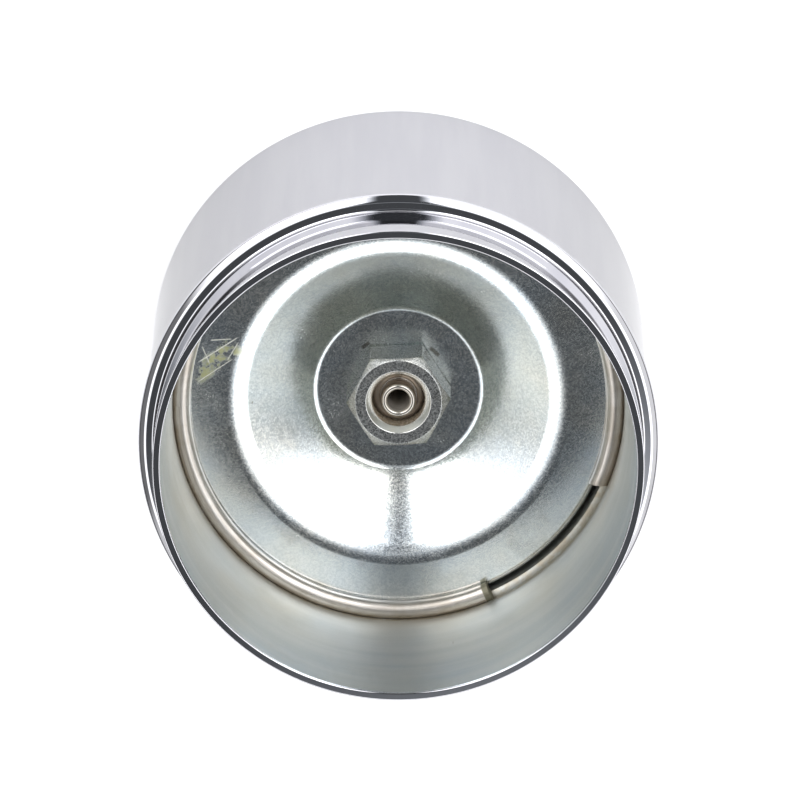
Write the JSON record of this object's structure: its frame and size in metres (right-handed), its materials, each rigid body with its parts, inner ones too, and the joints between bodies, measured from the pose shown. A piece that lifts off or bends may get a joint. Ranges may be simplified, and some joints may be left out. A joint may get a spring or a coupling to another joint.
{
  "type": "air filter housing",
  "caption": "Round chromed sheet-metal filter can with a beaded neck, an inner sleeve, and a sprung, dished plate with a nut and hollow bolt behind a wire ring.",
  "frame": {"origin": "centre of the closed back face, on which the can stands", "axes": "+Z runs along the can's axis out of its mouth; +X and +Y lie in the back face, and two corners of the nut point almost along X"},
  "size_m": [0.1068, 0.1068, 0.0865],
  "materials": {
    "chrome_plate": "bright decorative chrome, polished",
    "sleeve_zinc": "dull zinc plating with a greenish passivation",
    "zinc_plate": "bright zinc plating, clear-blue passivation, light scuffs",
    "nickel_wire": "bright nickel-plated spring wire",
    "nickel_bolt": "turned, nickel plated",
    "zinc_nut": "zinc plated, speckled",
    "copper_washer": "annealed copper, dull",
    "spring_steel": "zinc-plated spring wire"
  },
  "bodies": {
    "can": {"outer_shell": "chrome_plate", "inner_sleeve": "sleeve_zinc", "wire_ring": "nickel_wire", "spring_seat": "zinc_plate", "spring": "spring_steel"},
    "plate": {"dished_plate": "zinc_plate", "hex_nut": "zinc_nut", "hollow_bolt": "nickel_bolt", "seal_washer": "copper_washer"}
  },
  "joints": [
    {"name": "plate_slide", "type": "slide", "parent": "can", "child": "plate", "axis": [0, 0, -1], "range_m": [0, 0.008], "stiffness_N_per_m": 1500, "springref_m": -0.012, "deforming": ["spring"]}
  ]
}
